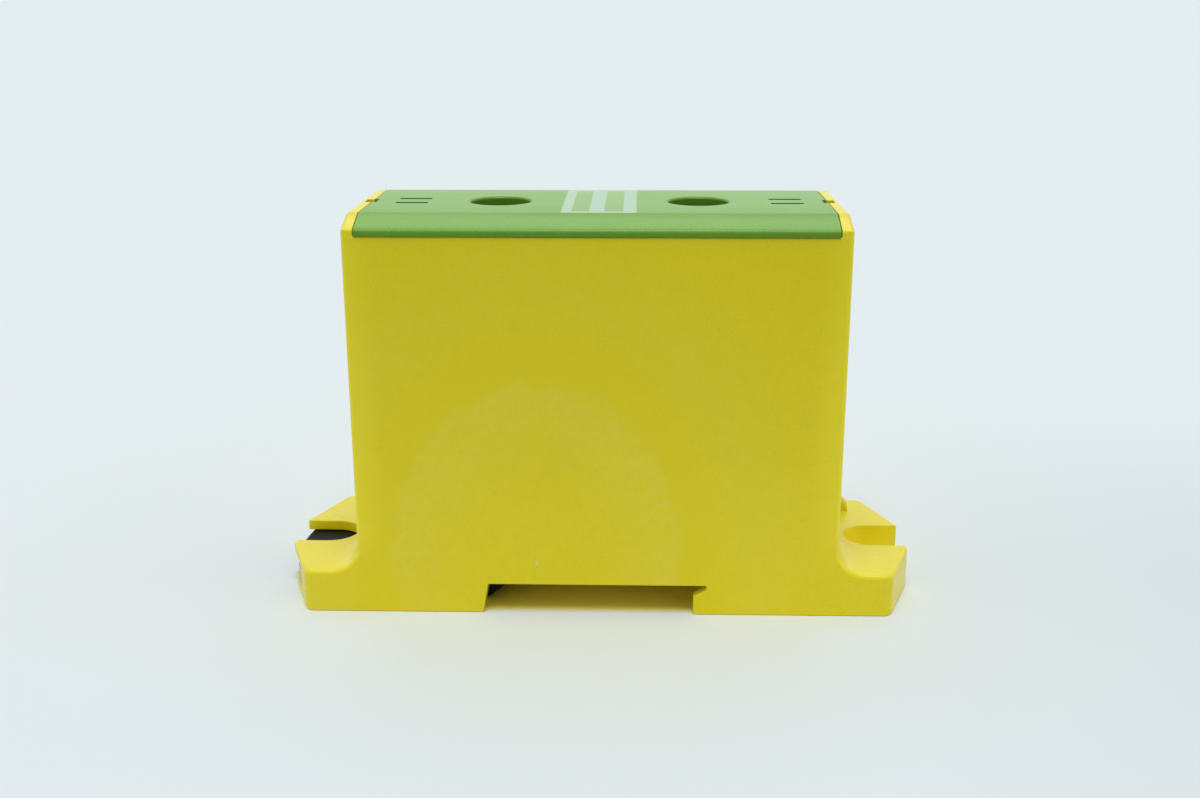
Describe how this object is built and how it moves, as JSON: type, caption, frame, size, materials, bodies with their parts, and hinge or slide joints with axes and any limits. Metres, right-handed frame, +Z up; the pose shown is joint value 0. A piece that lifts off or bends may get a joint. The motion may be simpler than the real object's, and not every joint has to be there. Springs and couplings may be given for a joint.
{
  "type": "earth terminal block",
  "caption": "Rail-mounted earth terminal block: yellow housing with slotted feet, green snap-in cover with key holes, clamp screws over a through bore, and a sliding rail latch.",
  "frame": {"origin": "middle of the base, on the mounting surface", "axes": "+X along the conductors away from the latch, +Y along the rail, +Z up from the mounting surface"},
  "size_m": [0.1068, 0.0364, 0.0664],
  "materials": {
    "yellow_polyamide": "fine moulded grain, satin",
    "green_polyamide": "fine moulded grain, satin",
    "tinned_aluminium": "extruded and tin-plated, satin",
    "zinced_steel": "turned and zinc-plated",
    "black_polyamide": "moulded, satin",
    "spring_steel": "drawn wire"
  },
  "bodies": {
    "terminal": {"housing": "yellow_polyamide", "top_cover": "green_polyamide", "conductor_block": "tinned_aluminium", "latch_spring": "spring_steel"},
    "left_screw": {"clamp_screw_left": "zinced_steel"},
    "right_screw": {"clamp_screw_right": "zinced_steel"},
    "latch": {"rail_latch": "black_polyamide"}
  },
  "joints": [
    {"name": "latch_slide", "type": "slide", "parent": "terminal", "child": "latch", "axis": [-1, 0, 0], "range_m": [0, 0.003], "stiffness_N_per_m": 600, "springref_m": -0.003, "deforming": ["latch_spring"]},
    {"name": "left_screw_down", "type": "slide", "parent": "terminal", "child": "left_screw", "axis": [0, 0, -1], "range_m": [0, 0.014]},
    {"name": "right_screw_down", "type": "slide", "parent": "terminal", "child": "right_screw", "axis": [0, 0, -1], "range_m": [0, 0.014]}
  ]
}
